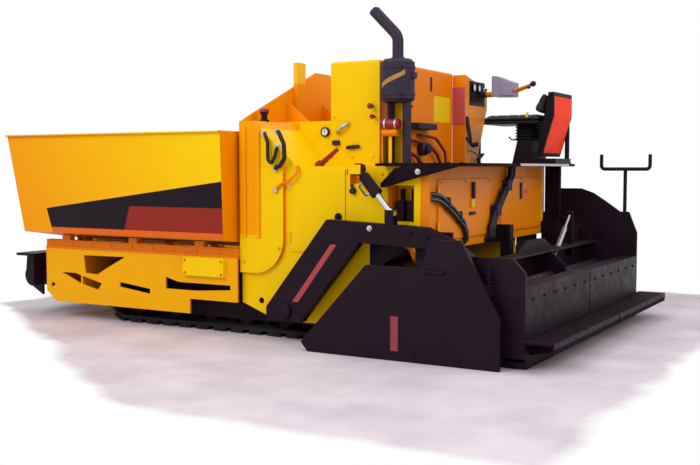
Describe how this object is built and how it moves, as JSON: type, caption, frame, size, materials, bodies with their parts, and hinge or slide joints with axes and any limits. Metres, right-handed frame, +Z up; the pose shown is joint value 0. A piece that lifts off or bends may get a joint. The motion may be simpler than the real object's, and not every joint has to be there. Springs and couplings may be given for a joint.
{
  "type": "asphalt paver",
  "caption": "Small tracked asphalt paver with folding hopper wings, slat conveyors, augers, a floating screed on tow arms and sliding screed extensions.",
  "frame": {"origin": "on the ground under the middle of the machine's bounding box", "axes": "+X forward towards the hopper, +Y left, +Z up"},
  "size_m": [4.5, 2.74, 2.25],
  "materials": {
    "enamel_yellow": "gloss enamel",
    "worn_steel": "worn bare steel",
    "enamel_black": "satin black enamel",
    "track_rubber": "moulded rubber",
    "enamel_orange": "gloss enamel in warm orange-yellow",
    "engine_iron": "painted cast iron",
    "exhaust_steel": "heat-proof dark paint",
    "chrome_rod": "hard chrome",
    "seat_shell": "moulded shell",
    "seat_vinyl": "grained vinyl"
  },
  "bodies": {
    "root": {"main_frame": "enamel_yellow", "side_frames": "enamel_yellow", "hopper_floor": "worn_steel", "conveyor_chains": "worn_steel", "front_apron": "enamel_black", "push_beam": "enamel_black", "track_left": "track_rubber", "track_right": "track_rubber", "track_frames": "enamel_black", "drive_sprockets": "worn_steel", "idler_wheels": "worn_steel", "track_rollers": "worn_steel", "side_cabinet_left": "enamel_yellow", "side_cabinet_right": "enamel_yellow", "hopper_bulkhead": "enamel_orange", "engine_cowl": "enamel_yellow", "engine_block": "engine_iron", "radiator": "engine_iron", "muffler": "exhaust_steel", "exhaust_pipe": "exhaust_steel", "operator_deck": "enamel_black", "rear_bulkhead": "enamel_orange", "console": "enamel_black", "guard_rails": "enamel_black", "valve_bank": "enamel_black", "auger_hanger": "enamel_black", "seat_pedestal": "enamel_black"},
    "wing_left": {"hopper_wing_left": "enamel_yellow"},
    "wing_right": {"hopper_wing_right": "enamel_yellow"},
    "wing_barrel_left": {"wing_cylinder_left": "enamel_black"},
    "wing_barrel_right": {"wing_cylinder_right": "enamel_black"},
    "wing_piston_left": {"wing_rod_left": "chrome_rod"},
    "wing_piston_right": {"wing_rod_right": "chrome_rod"},
    "roller_left": {"push_roller_left": "enamel_black"},
    "roller_right": {"push_roller_right": "enamel_black"},
    "hood": {"engine_hood": "enamel_yellow"},
    "seat": {"seat_frame": "seat_shell", "seat_cushions": "seat_vinyl"},
    "auger_body_left": {"auger_left": "worn_steel"},
    "auger_body_right": {"auger_right": "worn_steel"},
    "screed": {"tow_arms": "enamel_black", "screed_frame": "enamel_black", "screed_plates": "worn_steel"},
    "lift_barrel_left": {"lift_cylinder_left": "enamel_black"},
    "lift_barrel_right": {"lift_cylinder_right": "enamel_black"},
    "lift_piston_left": {"lift_rod_left": "chrome_rod"},
    "lift_piston_right": {"lift_rod_right": "chrome_rod"},
    "slide_left": {"extension_left": "enamel_black", "end_gate_left": "enamel_black", "walkway_left": "enamel_black"},
    "slide_right": {"extension_right": "enamel_black", "end_gate_right": "enamel_black", "walkway_right": "enamel_black", "depth_crank": "enamel_black"}
  },
  "joints": [
    {"name": "wing_left", "type": "hinge", "parent": "root", "child": "wing_left", "pos_m": [1, 0.615, 0.585], "axis": [1, 0, 0], "range_deg": [0, 45]},
    {"name": "wing_barrel_left", "type": "hinge", "parent": "root", "child": "wing_barrel_left", "pos_m": [1.64, 0.86, 0.222], "axis": [1, 0, 0], "range_deg": [0, 19]},
    {"name": "wing_stroke_left", "type": "slide", "parent": "wing_barrel_left", "child": "wing_piston_left", "axis": [0, 0.3687, 0.9296], "range_m": [0, 0.262]},
    {"name": "wing_right", "type": "hinge", "parent": "root", "child": "wing_right", "pos_m": [1, -0.615, 0.585], "axis": [-1, 0, 0], "range_deg": [0, 45]},
    {"name": "wing_barrel_right", "type": "hinge", "parent": "root", "child": "wing_barrel_right", "pos_m": [1.64, -0.86, 0.222], "axis": [-1, 0, 0], "range_deg": [0, 19]},
    {"name": "wing_stroke_right", "type": "slide", "parent": "wing_barrel_right", "child": "wing_piston_right", "axis": [0, -0.3687, 0.9296], "range_m": [0, 0.262]},
    {"name": "screed_lift", "type": "hinge", "parent": "root", "child": "screed", "pos_m": [-0.38, 0, 0.22], "axis": [0, 1, 0], "range_deg": [0, 6]},
    {"name": "lift_barrel_left", "type": "hinge", "parent": "root", "child": "lift_barrel_left", "pos_m": [-0.92, 1.185, 1.15], "axis": [0, -1, 0], "range_deg": [0, 1.2]},
    {"name": "lift_stroke_left", "type": "slide", "parent": "lift_barrel_left", "child": "lift_piston_left", "axis": [-0.6485, 0, -0.7612], "range_m": [-0.108, 0]},
    {"name": "push_roller_left", "type": "hinge", "parent": "root", "child": "roller_left", "pos_m": [2.165, 0.57, 0.3], "axis": [0, 1, 0], "continuous": true},
    {"name": "auger_left", "type": "hinge", "parent": "root", "child": "auger_body_left", "pos_m": [-1.45, 0.5, 0.33], "axis": [0, 1, 0], "continuous": true},
    {"name": "extension_left", "type": "slide", "parent": "screed", "child": "slide_left", "axis": [0, 1, 0], "range_m": [0, 1]},
    {"name": "lift_barrel_right", "type": "hinge", "parent": "root", "child": "lift_barrel_right", "pos_m": [-0.92, -1.185, 1.15], "axis": [0, -1, 0], "range_deg": [0, 1.2]},
    {"name": "lift_stroke_right", "type": "slide", "parent": "lift_barrel_right", "child": "lift_piston_right", "axis": [-0.6485, 0, -0.7612], "range_m": [-0.108, 0]},
    {"name": "push_roller_right", "type": "hinge", "parent": "root", "child": "roller_right", "pos_m": [2.165, -0.57, 0.3], "axis": [0, 1, 0], "continuous": true},
    {"name": "auger_right", "type": "hinge", "parent": "root", "child": "auger_body_right", "pos_m": [-1.45, -0.5, 0.33], "axis": [0, 1, 0], "continuous": true},
    {"name": "extension_right", "type": "slide", "parent": "screed", "child": "slide_right", "axis": [0, -1, 0], "range_m": [0, 1]},
    {"name": "hood", "type": "hinge", "parent": "root", "child": "hood", "pos_m": [-0.346, 0, 1.504], "axis": [0, 1, 0], "range_deg": [0, 60]},
    {"name": "seat_slide", "type": "slide", "parent": "root", "child": "seat", "axis": [1, 0, 0], "range_m": [-0.1, 0.05]}
  ],
  "couplings": [
    {"joint": "wing_barrel_left", "follows": "wing_left", "ratio": 0.4028},
    {"joint": "wing_stroke_left", "follows": "wing_left", "m_per_rad": 0.32928},
    {"joint": "wing_barrel_right", "follows": "wing_right", "ratio": 0.4028},
    {"joint": "wing_stroke_right", "follows": "wing_right", "m_per_rad": 0.32928},
    {"joint": "lift_barrel_left", "follows": "screed_lift", "ratio": 0.1552},
    {"joint": "lift_stroke_left", "follows": "screed_lift", "m_per_rad": -1.0126},
    {"joint": "lift_barrel_right", "follows": "screed_lift", "ratio": 0.1552},
    {"joint": "lift_stroke_right", "follows": "screed_lift", "m_per_rad": -1.0126}
  ]
}
